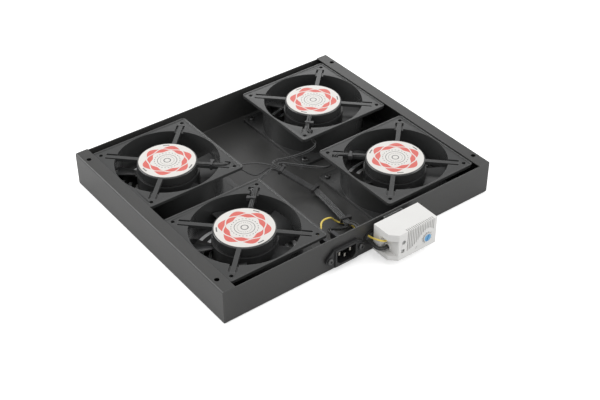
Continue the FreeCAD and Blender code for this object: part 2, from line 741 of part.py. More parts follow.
def rail_rivets():
    """Two blind rivets through the rail's web and the front wall."""
    rivets = []
    for z in RAIL_RIVET_Z:
        head = rod(3.0, WALL_Y - 2.2, WALL_Y - 1, CASE_MID_X, z)
        shank = rod(RIVET_R, WALL_Y - 1, WALL_Y + SHEET, CASE_MID_X, z)
        bulb = rod(2.4, WALL_Y + SHEET, WALL_Y + SHEET + 2, CASE_MID_X, z)
        rivets.append(fused([head, shank, bulb]))
    return Part.makeCompound(rivets)


# -------------------------------------------------------------------- wiring
def tube_along(points, diameter):
    """A plain wire: straight runs joined by tangent arcs, its section a hexagon
    of the round wire's area."""
    edges = []
    radii = []
    last = points[0]
    for index in range(1, len(points) - 1):
        before = points[index - 1] - points[index]
        after = points[index + 1] - points[index]
        turn = math.pi - before.getAngle(after)
        reach = BEND_SHARE * min(before.Length, after.Length)
        radius = reach / math.tan(turn / 2)
        radii.append(round(radius, 1))
        before.normalize()
        after.normalize()
        start = points[index] + before * reach
        end = points[index] + after * reach
        inward = (before + after).normalize()
        middle = points[index] + inward * (radius / math.cos(turn / 2) - radius)
        edges.append(Part.makeLine(last, start))
        edges.append(Part.Arc(start, middle, end).toShape())
        last = end
    edges.append(Part.makeLine(last, points[-1]))
    path = Part.Wire(edges)
    print("wire", diameter, "long", round(path.Length, 1), "bend radii", radii)
    along = (points[1] - points[0]).normalize()
    side = along.cross(Vector(0.1, 0.2, 1)).normalize()
    across = along.cross(side)
    corner = diameter / 2 * math.sqrt(2 * math.pi / (6 * math.sin(math.pi / 3)))
    ring_points = []
    for number in range(6):
        angle = math.radians(60 * number)
        offset = side * (corner * math.cos(angle)) + across * (corner * math.sin(angle))
        ring_points.append(points[0] + offset)
    section = Part.makePolygon(ring_points + ring_points[:1])
    return path.makePipeShell([section], True, False)


def bundle_offset(column, row):
    """One wire's place in the bundle, from the bundle's centre."""
    across = Vector(*ACROSS) * ((column - 1.5) * BUNDLE_PITCH)
    return across + Vector(0, 0, (row - 0.5) * BUNDLE_PITCH)


def fan_leads(fan):
    """One fan's two leads: from the motor can along the strut, down through the
    lead hole, by their own way to the bundle, and on to the inlet's neutral tab
    (lower lead) and to the thermostat (upper lead)."""
    column, join, lower_way, upper_way = LEAD_ROUTES[fan[0]]
    first_tie = Vector(*TIES[0][0])
    heading = Vector(*TIES[0][1]).normalize()
    beside = WIRE_D / 2 + 0.1
    over = STRUT_TOP + WIRE_D / 2 + 0.05
    leads = []
    for row, way in ((0, lower_way), (1, upper_way)):
        side = beside if row else -beside
        hole_u = LEAD_HOLE_U - 0.7 if row else LEAD_HOLE_U + 1.8
        leave_u = 60.5 if row else 62.5
        depth = FAN_HEIGHT - 9.5 if row else FAN_HEIGHT - 11.7
        local = [
            diagonal(math.sqrt(CAN_R**2 - side**2) + 0.1, side, over),
            diagonal(leave_u, side, over),
            diagonal(hole_u, LEAD_HOLE_W, over),
            diagonal(hole_u, LEAD_HOLE_W, depth),
        ]
        local.append(local[-1] + Vector(0, 11.5, -0.6))
        offset = bundle_offset(column, row)
        points = [in_fan(Part.Vertex(point), fan).Point for point in local]
        points += [Vector(*point) for point in way]
        points.append(first_tie + offset - heading * join)
        points += [Vector(*point) + offset for point in BUNDLE]
        points += live_end(column) if row else neutral_end(column)
        leads.append(tube_along(points, WIRE_D))
    return Part.makeCompound(leads)


def neutral_end(column):
    """A lower lead's way from the last tie: west in two layers of two, and
    into the receptacle on the inlet's neutral tab."""
    x, z = INLET_PINS[1]
    layer = 0.5 - column // 2
    shift = (column % 2 - 0.5) * BUNDLE_PITCH
    bundle_x = BUNDLE[-1][0] + bundle_offset(column, 0).x
    turn = Vector(bundle_x - 0.8, -104.0 - shift, 6.15 + layer * 2.3)
    climb = Vector(2.0, turn.y, turn.z)
    tab = Vector(INLET_X + x + shift, turn.y, INLET_Z + z + layer * BUNDLE_PITCH)
    return [turn, climb, tab, Vector(tab.x, WALL_Y + RECEPTACLE_END + 0.1, tab.z)]


def live_end(column):
    """An upper lead's way from the last tie: out through the grommet, two by
    two, and round into the thermostat's round entry."""
    outer = column in (0, 3)
    right = 1 if column > 1 else -1
    dx = right * BUNDLE_PITCH / 2
    dz = BUNDLE_PITCH / 2 if outer else -BUNDLE_PITCH / 2
    y, z, radius = TERMINAL_ENTRIES[1]
    spread = right * BUNDLE_PITCH * (1.2 if outer else 0.5)
    rise = BUNDLE_PITCH * (0.75 if outer else -0.4)
    return [
        Vector(12.5 + spread, -113.0, 13.5 + rise),
        Vector(8.8 + dx, -127.0, 15.2 + dz),
        Vector(4.6 + dx, WALL_Y + 4.5, 17.2 + dz),
        Vector(4.6 + dx, WALL_Y - 3.8, 17.0 + dz),
        Vector(3.0 + dx, -158.5 + dx / 2, 15.5 + dz),
        Vector(7.0 + dx / 2, y + dx, z + dz),
        Vector(RECESS_X + 2.0, y + dx, z + dz),
    ]


def supply_wire():
    """The yellow line wire: from the inlet's line tab, in a loop and under the
    bundle, out through the grommet and into the thermostat's upper entry."""
    x, z = INLET_PINS[0]
    y, entry_z, radius = TERMINAL_ENTRIES[0]
    points = [
        (INLET_X + x, WALL_Y + RECEPTACLE_END + 0.1, INLET_Z + z),
        (INLET_X + x, -110.0, INLET_Z + z),
        (-28.0, -106.5, 24.5),
        (-24.0, -100.5, 24.0),
        (-17.0, -96.0, 23.0),
        (-8.0, -94.5, 20.5),
        (-1.0, -90.5, 14.0),
        (5.0, -87.0, 6.0),
        (9.8, -90.2, 2.5),
        (16.8, -99.5, 2.8),
        (16.0, -107.5, 4.0),
        (9.6, -115.0, 8.6),
        (4.0, -128.0, 16.8),
        (3.7, WALL_Y + 5.5, 22.7),
        (3.7, WALL_Y - 3.8, 22.9),
        (3.0, -152.5, 25.0),
        (5.0, -162.2, 26.9),
        (9.5, y, entry_z),
        (RECESS_X + 2.0, y, entry_z),
    ]
    return tube_along([Vector(*point) for point in points], SUPPLY_D)


def harness_ties():
    """The three cable ties of the bundle, each with its head."""
    ties = []
    half_w = 1.5 * BUNDLE_PITCH + WIRE_D / 2 + 0.2
    for place, heading, half_h in TIES:
        strap = box(-half_w - 0.9, half_w + 0.9, -1.4, 1.4, -half_h - 0.9, half_h + 0.9)
        head = box(half_w + 0.9, half_w + 4.2, -2.3, 2.3, -1.0, half_h + 1.4)
        tie = fused([strap, head]).cut(box(-half_w, half_w, -2, 2, -half_h, half_h))
        dip = math.atan2(heading[2], math.hypot(heading[0], heading[1]))
        tie.rotate(Vector(0, 0, 0), Vector(1, 0, 0), -math.degrees(dip))
        turn = math.degrees(math.atan2(heading[1], heading[0])) + 90
        tie.rotate(Vector(0, 0, 0), Vector(0, 0, 1), turn)
        tie.translate(Vector(*place))
        ties.append(tie)
    return Part.makeCompound(ties)


def save(node, shape):
    """Writes one node as STEP."""
    shape.exportStep("parts/" + node + ".step")


def main():
    """Builds and writes every node."""
    os.makedirs("parts", exist_ok=True)
    save("tray_shell", tray_shell())
    own_frame = {
        "frame": fan_frame(),
        "impeller": fan_impeller(),
        "shaft": fan_shaft(),
        "stator": fan_stator(),
        "label": fan_label(),
        "tie": strut_tie(),
    }
    for fan in FANS:
        prefix = "fan_" + fan[0] + "_"
        for piece, shape in own_frame.items():
            save(prefix + piece, in_fan(shape, fan))
        save(prefix + "leads", fan_leads(fan))
    save("inlet_body", inlet_body())
    save("inlet_pins", inlet_pins())
    save("inlet_receptacles", inlet_receptacles())
    save("wire_grommet", wire_grommet())
    save("thermostat_case", thermostat_case())
    save("thermostat_back", thermostat_back())
    save("thermostat_dial", thermostat_dial())
    save("thermostat_switch", thermostat_switch())
    save("thermostat_terminals", thermostat_terminals())
    save("thermostat_collar", entry_collars())
    save("din_rail", din_rail())
    save("rail_rivets", rail_rivets())
    save("supply_wire", supply_wire())
    save("harness_ties", harness_ties())


if __name__ == "__main__":
    main()
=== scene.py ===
"""Finishes, small pieces, wiring, light and camera for the rack fan tray."""

import logging
import math
from dataclasses import dataclass, field
from enum import Enum
from typing import Callable, Union

import bpy
from mathutils import Matrix, Vector


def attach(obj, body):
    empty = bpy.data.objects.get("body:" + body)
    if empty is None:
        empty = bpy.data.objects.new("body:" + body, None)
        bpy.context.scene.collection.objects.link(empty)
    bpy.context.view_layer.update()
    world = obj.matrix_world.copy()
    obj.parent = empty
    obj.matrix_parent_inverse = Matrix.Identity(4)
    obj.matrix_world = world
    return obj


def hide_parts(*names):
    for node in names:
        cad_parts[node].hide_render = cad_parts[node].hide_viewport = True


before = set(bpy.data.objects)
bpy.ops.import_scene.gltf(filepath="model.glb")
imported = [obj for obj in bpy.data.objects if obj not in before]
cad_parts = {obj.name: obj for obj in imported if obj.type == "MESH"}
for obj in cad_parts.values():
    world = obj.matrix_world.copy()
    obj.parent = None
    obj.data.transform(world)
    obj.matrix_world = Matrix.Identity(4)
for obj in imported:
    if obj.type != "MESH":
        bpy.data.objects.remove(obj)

LOG = logging.getLogger("fan_tray")
MM = 0.001
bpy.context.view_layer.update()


def millimetres(*values: float) -> Vector:
    """Returns a vector given in millimetres, in metres."""
    return Vector(values) * MM


# ------------------------------------------------------------- shader writing
Operand = Union["Term", float]
Triple = tuple[float, float, float]
Colour = Triple
Tint = Union[Colour, bpy.types.NodeSocket]
UNSTRETCHED: Triple = (1.0, 1.0, 1.0)
WHITE = (1.0, 1.0, 1.0, 1.0)


class Term:
    """A number that varies over a surface, which takes part in written sums."""

    def __init__(self, tree: bpy.types.NodeTree, socket: bpy.types.NodeSocket) -> None:
        """Wraps one output socket of a node tree."""
        self.tree = tree
        self.socket = socket

    def _sum(self, operation: str, first: Operand, second: Operand) -> "Term":
        """Adds one Math node.

        Args:
            operation: the node's operation.
            first: its first operand.
            second: its second operand.

        Returns:
            The node's result.
        """
        made = self.tree.nodes.new("ShaderNodeMath")
        made.operation = operation
        for place, operand in enumerate((first, second)):
            if isinstance(operand, Term):
                self.tree.links.new(operand.socket, made.inputs[place])
            else:
                made.inputs[place].default_value = operand
        return Term(self.tree, made.outputs[0])

    def __add__(self, other: Operand) -> "Term":
        """Returns self + other."""
        return self._sum("ADD", self, other)

    def __radd__(self, other: float) -> "Term":
        """Returns other + self."""
        return self._sum("ADD", other, self)

    def __sub__(self, other: Operand) -> "Term":
        """Returns self - other."""
        return self._sum("SUBTRACT", self, other)

    def __rsub__(self, other: float) -> "Term":
        """Returns other - self."""
        return self._sum("SUBTRACT", other, self)

    def __mul__(self, other: Operand) -> "Term":
        """Returns self * other."""
        return self._sum("MULTIPLY", self, other)

    def __rmul__(self, other: float) -> "Term":
        """Returns other * self."""
        return self._sum("MULTIPLY", other, self)

    def __pow__(self, other: float) -> "Term":
        """Returns self to a power."""
        return self._sum("POWER", self, other)

    def __gt__(self, other: Operand) -> "Term":
        """Returns 1 where self is above other, else 0."""
        return self._sum("GREATER_THAN", self, other)

    def __lt__(self, other: Operand) -> "Term":
        """Returns 1 where self is below other, else 0."""
        return self._sum("LESS_THAN", self, other)

    def absolute(self) -> "Term":
        """Returns the size of self without its sign."""
        return self._sum("ABSOLUTE", self, 0.0)

    def sine(self) -> "Term":
        """Returns the sine of self in radians."""
        return self._sum("SINE", self, 0.0)

    def angle_from(self, other: "Term") -> "Term":
        """Returns the angle of the point (other, self) in radians."""
        return self._sum("ARCTAN2", self, other)

    def near(self, middle: float, half_width: float) -> "Term":
        """Returns 1 where self is within half_width of middle, else 0."""
        return (self - middle).absolute() < half_width


class Bench:
    """Adds the nodes of one material."""

    def __init__(self, name: str) -> None:
        """Makes an empty material of that name."""
        self.material = bpy.data.materials.new(name)
        self.material.use_nodes = True
        self.tree = self.material.node_tree
        self.tree.nodes.clear()

    def node(self, kind: str, settings: dict | None = None, sockets: dict | None = None) -> bpy.types.Node:
        """Adds one node.

        Args:
            kind: the node's type.
            settings: its properties, and a ramp's "stops", which are set first.
            sockets: values, terms or sockets, by input name or number.

        Returns:
            The new node.
        """
        made = self.tree.nodes.new(kind)
        for name, value in (settings or {}).items():
            if name == "stops":
                while len(made.color_ramp.elements) < len(value):
                    made.color_ramp.elements.new(0.5)
                for element, (place, colour) in zip(made.color_ramp.elements, value):
                    element.position = place
                    element.color = (*colour, 1.0)
            else:
                setattr(made, name, value)
        for key, value in (sockets or {}).items():
            if isinstance(value, Term):
                self.tree.links.new(value.socket, made.inputs[key])
            elif isinstance(value, bpy.types.NodeSocket):
                self.tree.links.new(value, made.inputs[key])
            else:
                made.inputs[key].default_value = value
        return made

    def term(self, node: bpy.types.Node, output: Union[int, str] = 0) -> Term:
        """Returns one output of a node as a term."""
        return Term(self.tree, node.outputs[output])

    def place(self, scale: Triple = UNSTRETCHED) -> bpy.types.NodeSocket:
        """Returns the surface point in object coordinates, stretched by scale."""
        point = self.node("ShaderNodeTexCoord").outputs["Object"]
        return self.node("ShaderNodeMapping", sockets={"Vector": point, "Scale": scale}).outputs[0]

    def grain(self, size: float, detail: float = 3.0, stretch: Triple = UNSTRETCHED) -> Term:
        """Adds a noise.

        Args:
            size: the width of one grain in metres.
            detail: how many finer layers it holds.
            stretch: a factor on its scale along each axis.

        Returns:
            The noise, from 0 to 1.
        """
        sockets = {"Vector": self.place(stretch), "Scale": 1.0 / size, "Detail": detail}
        return self.term(self.node("ShaderNodeTexNoise", sockets=sockets))

    def blend(self, mask: Term, low: Tint, high: Tint) -> bpy.types.NodeSocket:
        """Mixes two colours.

        Args:
            mask: 0 for the first colour, 1 for the second.
            low: the first colour.
            high: the second colour.

        Returns:
            The mixed colour.
        """
        settings = {"data_type": "RGBA", "clamp_factor": True}
        sides = [(*side, 1.0) if isinstance(side, tuple) else side for side in (low, high)]
        made = self.node("ShaderNodeMix", settings, {0: mask, 6: sides[0], 7: sides[1]})
        return made.outputs[2]

    def surface(self, sockets: dict, relief: Term, depth: float, strength: float) -> bpy.types.Material:
        """Ends the material in one Principled shader.

        Args:
            sockets: its values, terms or colours.
            relief: the height of the surface, from 0 to 1.
            depth: the height of a full step of the relief in metres.
            strength: how strongly the relief shows.

        Returns:
            The finished material.
        """
        settings = {"Height": relief, "Distance": depth, "Strength": strength}
        bump = self.node("ShaderNodeBump", sockets=settings)
        shader = self.node("ShaderNodeBsdfPrincipled", sockets={**sockets, "Normal": bump.outputs[0]})
        self.node("ShaderNodeOutputMaterial", sockets={"Surface": shader.outputs[0]})
        return self.material


# -------------------------------------------------------------------- finishes
@dataclass(frozen=True)
class PowderCoat:
    """Satin powder coat with its fine orange-peel relief and a little dust.

    Lengths are in metres. The shares say how far the clouds and the specks
    tint the coat, and the swings how far its shine varies.
    """

    name: str
    colour: Colour
    dust: Colour
    roughness: float = 0.42
    peel: float = 0.0011
    relief: float = 0.35
    rubbed: bool = False
    cloud_size: float = 0.045
    cloud_share: float = 0.5
    cloud_swing: float = 0.12
    speck_size: float = 0.0022
    speck_level: float = 0.7
    speck_share: float = 0.12
    peel_depth: float = 0.00004
    peel_swing: float = 0.06
    rubbed_shine: float = 0.08

    def build(self) -> bpy.types.Material:
        """Returns the material."""
        bench = Bench(self.name)
        clouds = bench.grain(self.cloud_size, 4.0)
        specks = bench.grain(self.speck_size, 2.0) > self.speck_level
        peel = bench.grain(self.peel, 2.0)
        dusty = clouds * self.cloud_share + specks * self.speck_share
        tint = bench.blend(dusty, self.colour, self.dust)
        shine = self.roughness + (clouds - 0.5) * self.cloud_swing + (peel - 0.5) * self.peel_swing
        if self.rubbed:
            shine = shine - self.rubbed_shine
        sockets = {"Base Color": tint, "Roughness": shine, "IOR": 1.5}
        return bench.surface(sockets, peel, self.peel_depth, self.relief)


@dataclass(frozen=True)
class MouldedPlastic:
    """Moulded plastic with spark-eroded grain."""

    name: str
    colour: Colour
    worn: Colour
    roughness: float = 0.5
    grain: float = 0.0004
    relief: float = 0.25
    grain_depth: float = 0.00002
    grain_swing: float = 0.1
    cloud_size: float = 0.018
    cloud_share: float = 0.6
    cloud_swing: float = 0.08

    def build(self) -> bpy.types.Material:
        """Returns the material."""
        bench = Bench(self.name)
        clouds = bench.grain(self.cloud_size, 3.0)
        fine = bench.grain(self.grain, 1.0)
        tint = bench.blend(clouds * self.cloud_share, self.colour, self.worn)
        shine = self.roughness + (fine - 0.5) * self.grain_swing + (clouds - 0.5) * self.cloud_swing
        sockets = {"Base Color": tint, "Roughness": shine, "IOR": 1.46}
        return bench.surface(sockets, fine, self.grain_depth, self.relief)


@dataclass(frozen=True)
class BareMetal:
    """Bare or plated metal, drawn or ground along one axis."""

    name: str
    colour: Colour
    dull: Colour
    roughness: float = 0.3
    stretch: Triple = UNSTRETCHED
    line_size: float = 0.0005
    line_depth: float = 0.00001
    line_share: float = 0.2
    line_swing: float = 0.16
    cloud_size: float = 0.006
    cloud_share: float = 0.7
    cloud_swing: float = 0.1
    relief: float = 0.3

    def build(self) -> bpy.types.Material:
        """Returns the material."""
        bench = Bench(self.name)
        lines = bench.grain(self.line_size, 2.0, self.stretch)
        clouds = bench.grain(self.cloud_size, 3.0)
        tint = bench.blend(clouds * self.cloud_share + lines * self.line_share, self.colour, self.dull)
        shine = self.roughness + (lines - 0.5) * self.line_swing + (clouds - 0.5) * self.cloud_swing
        sockets = {"Base Color": tint, "Roughness": shine, "Metallic": 1.0}
        return bench.surface(sockets, lines, self.line_depth, self.relief)


@dataclass(frozen=True)
class WireCoat:
    """Extruded wire insulation with a faint draw along its length."""

    name: str
    colour: Colour
    light: Colour
    roughness: float = 0.34
    grain: float = 0.0003
    grain_depth: float = 0.00001
    grain_swing: float = 0.1
    cloud_size: float = 0.007
    cloud_share: float = 0.7
    cloud_swing: float = 0.12
    relief: float = 0.2

    def build(self) -> bpy.types.Material:
        """Returns the material."""
        bench = Bench(self.name)
        clouds = bench.grain(self.cloud_size, 3.0)
        fine = bench.grain(self.grain, 1.0)
        tint = bench.blend(clouds * self.cloud_share, self.colour, self.light)
        shine = self.roughness + (fine - 0.5) * self.grain_swing + (clouds - 0.5) * self.cloud_swing
        sockets = {"Base Color": tint, "Roughness": shine, "IOR": 1.5}
        return bench.surface(sockets, fine, self.grain_depth, self.relief)


@dataclass(frozen=True)
class DialPlastic:
    """Blue moulded knob with a pale flange round it.

    The centre is in metres and the radii are in millimetres.
    """

    name: str = "dial_plastic"
    blue: Colour = (0.13, 0.36, 0.62)
    light_blue: Colour = (0.18, 0.42, 0.68)
    pale: Colour = (0.62, 0.62, 0.605)
    centre: tuple[float, float] = (52.5 * MM, 19.6 * MM)
    knob_radius: float = 4.4
    flutes: int = 12
    flute_depth: float = 0.22
    grain: float = 0.0006
    grain_depth: float = 0.00002
    roughness: float = 0.4
    relief: float = 0.2

    def build(self) -> bpy.types.Material:
        """Returns the material."""
        bench = Bench(self.name)
        point = bench.node("ShaderNodeTexCoord").outputs["Object"]
        split = bench.node("ShaderNodeSeparateXYZ", sockets={0: point})
        side = bench.term(split, 0) - self.centre[0]
        rise = bench.term(split, 2) - self.centre[1]
        radius = (side * side + rise * rise) ** 0.5 * (1.0 / MM)
        flutes = (rise.angle_from(side) * self.flutes).sine() * self.flute_depth
        grain = bench.grain(self.grain, 2.0)
        tint = bench.blend(grain * 0.3, self.blue, self.light_blue)
        both = bench.blend(radius > self.knob_radius + flutes, tint, self.pale)
        shine = self.roughness + (grain - 0.5) * 0.1
        sockets = {"Base Color": both, "Roughness": shine, "IOR": 1.46}
        return bench.surface(sockets, grain, self.grain_depth, self.relief)


@dataclass(frozen=True)
class PrintedLabel:
    """White film with a plain red rosette and dark rings, drawn about one
    fan's axis. The radii and widths are in millimetres."""

    name: str
    centre: tuple[float, float]
    turn: float
    white: Colour = (0.70, 0.68, 0.65)
    aged: Colour = (0.60, 0.585, 0.56)
    red: Colour = (0.62, 0.055, 0.035)
    ink: Colour = (0.035, 0.035, 0.04)
    petals: int = 6
    outer_radius: float = 25.2
    outer_wave: float = 2.2
    inner_radius: float = 17.6
    inner_wave: float = 1.5
    line_radius: float = 21.4
    line_wave: float = 1.4
    line_width: float = 0.7
    dashes: int = 24
    dashed_rings: tuple[float, float] = (13.9, 7.6)
    whole_ring: float = 10.6
    centre_ring: float = 3.6
    mark_radius: float = 28.6
    mark_sharpness: float = 0.93
    roughness: float = 0.38
    film_depth: float = 0.00003

    def build(self) -> bpy.types.Material:
        """Returns the material."""
        bench = Bench(self.name)
        point = bench.node("ShaderNodeTexCoord").outputs["Object"]
        split = bench.node("ShaderNodeSeparateXYZ", sockets={0: point})
        east = bench.term(split, 0) - self.centre[0]
        north = bench.term(split, 1) - self.centre[1]
        radius = (east * east + north * north) ** 0.5 * (1.0 / MM)
        angle = north.angle_from(east) - self.turn
        wave = (angle * self.petals).sine()
        outer = radius < self.outer_radius + wave * self.outer_wave
        inner = radius > self.inner_radius + wave * self.inner_wave
        line = (radius - self.line_radius + wave * self.line_wave).absolute() < self.line_width
        red = outer * inner * (1.0 - line)
        dashes = (angle * self.dashes).sine() > 0.1
        wide_ring, small_ring = self.dashed_rings
        rules = radius.near(wide_ring, 0.35) * dashes + radius.near(self.whole_ring, 0.3)
        rules = rules + radius.near(small_ring, 0.3) * dashes
        marks = radius.near(self.mark_radius, 0.7) * ((angle * 3.0).sine() > self.mark_sharpness)
        ink = rules + marks + radius.near(self.centre_ring, 0.5)
        fade = bench.grain(0.004, 3.0)
        paper = bench.blend(fade * 0.35, self.white, self.aged)
        printed = bench.blend(red * (0.82 + fade * 0.1), paper, self.red)
        inked = bench.blend(ink * 0.85, printed, self.ink)
        shine = self.roughness + (fade - 0.5) * 0.1
        sockets = {"Base Color": inked, "Roughness": shine, "IOR": 1.47}
        return bench.surface(sockets, fade, self.film_depth, 0.2)


@dataclass(frozen=True)
class StudioFloor:
    """Pale floor that goes to white where the lens sees it, apart from the
    part that the tray covers, whose half sizes are in metres."""

    name: str = "studio_floor"
    colour: Colour = (0.86, 0.86, 0.86)
    lift: float = 0.5
    covered: tuple[float, float] = (0.174, 0.142)

    def build(self) -> bpy.types.Material:
        """Returns the material."""
        bench = Bench(self.name)
        seen = bench.term(bench.node("ShaderNodeLightPath"), "Is Camera Ray")
        point = bench.node("ShaderNodeTexCoord").outputs["Object"]
        split = bench.node("ShaderNodeSeparateXYZ", sockets={0: point})
        beside = bench.term(split, 0).absolute() > self.covered[0]
        before = bench.term(split, 1).absolute() > self.covered[1]
        seen = seen * (1.0 - (1.0 - beside) * (1.0 - before))
        paper = bench.node("ShaderNodeBsdfDiffuse", sockets={"Color": (*self.colour, 1.0)})
        glow = bench.node("ShaderNodeEmission", sockets={"Color": WHITE, "Strength": self.lift})
        both = bench.node("ShaderNodeAddShader", sockets={0: paper.outputs[0], 1: glow.outputs[0]})
        mixed = bench.node("ShaderNodeMixShader", sockets={0: seen, 1: paper.outputs[0], 2: both.outputs[0]})
        bench.node("ShaderNodeOutputMaterial", sockets={"Surface": mixed.outputs[0]})
        return bench.material


class Palette(Enum):
    """The finishes of the tray's pieces."""

    TRAY = PowderCoat("tray_coat", (0.034, 0.034, 0.033), (0.055, 0.055, 0.054), 0.38)
    # Lighter coat on every bevel face of the tray, inner creases too: partly rubbed wear, partly a painted
    # edge highlight.
    TRAY_EDGE = PowderCoat("tray_coat_edge_wear_and_highlight", (0.06, 0.06, 0.059), (0.09, 0.09, 0.088), 0.32, rubbed=True)
    HOUSING = PowderCoat("fan_housing_coat", (0.036, 0.037, 0.037), (0.054, 0.054, 0.054), 0.22, 0.0007, 0.08)
    # Lighter coat on every bevel face of the fan housings, inner creases too: partly rubbed wear, partly a
    # painted edge highlight.
    HOUSING_EDGE = PowderCoat("fan_housing_edge_wear_and_highlight", (0.07, 0.07, 0.07), (0.1, 0.1, 0.1), 0.2, 0.0007, 0.1, True)
    IMPELLER = MouldedPlastic("impeller_plastic", (0.03, 0.031, 0.031), (0.046, 0.046, 0.047), 0.3)
    STEEL = BareMetal("ground_steel", (0.62, 0.62, 0.61), (0.42, 0.42, 0.42), 0.28, (1.0, 1.0, 0.1))
    WINDING = BareMetal("stator_windings", (0.35, 0.2, 0.11), (0.22, 0.13, 0.08), 0.45, (1.0, 1.0, 0.2))
    DARK_SCREW = BareMetal("blackened_screw", (0.16, 0.16, 0.16), (0.08, 0.08, 0.08), 0.38)
    BLACK_WIRE = WireCoat("black_wire_coat", (0.045, 0.046, 0.046), (0.075, 0.075, 0.076), 0.26)
    YELLOW_WIRE = WireCoat("yellow_wire_coat", (0.80, 0.60, 0.10), (0.84, 0.66, 0.16))
    TIE = MouldedPlastic("tie_nylon", (0.04, 0.04, 0.041), (0.06, 0.06, 0.061), 0.32)
    INLET = MouldedPlastic("inlet_plastic", (0.014, 0.014, 0.0145), (0.026, 0.026, 0.027), 0.36)
    PIN = BareMetal("nickel_pin", (0.5, 0.48, 0.43), (0.32, 0.3, 0.27), 0.25, (1.0, 0.1, 1.0))
    SLEEVE = MouldedPlastic("sleeve_plastic", (0.03, 0.03, 0.033), (0.05, 0.05, 0.055), 0.45)
    RUBBER = MouldedPlastic("grommet_rubber", (0.012, 0.012, 0.012), (0.022, 0.022, 0.022), 0.6)
    CASE = MouldedPlastic("case_plastic", (0.72, 0.715, 0.70), (0.66, 0.655, 0.64), 0.46, 0.0003, 0.2)
    DIAL = DialPlastic()
    PRINT = MouldedPlastic("dial_print", (0.12, 0.12, 0.13), (0.16, 0.16, 0.17), 0.5)
    SWITCH = MouldedPlastic("switch_plastic", (0.06, 0.055, 0.05), (0.09, 0.085, 0.08), 0.5)
    ZINC = BareMetal("zinc_rail", (0.6, 0.61, 0.6), (0.42, 0.43, 0.43), 0.34, (1.0, 1.0, 0.1))
    RIVET = BareMetal("rivet_aluminium", (0.66, 0.66, 0.66), (0.5, 0.5, 0.5), 0.35)

    def material(self) -> bpy.types.Material:
        """Returns the finish's material, built once."""
        return bpy.data.materials.get(self.value.name) or self.value.build()


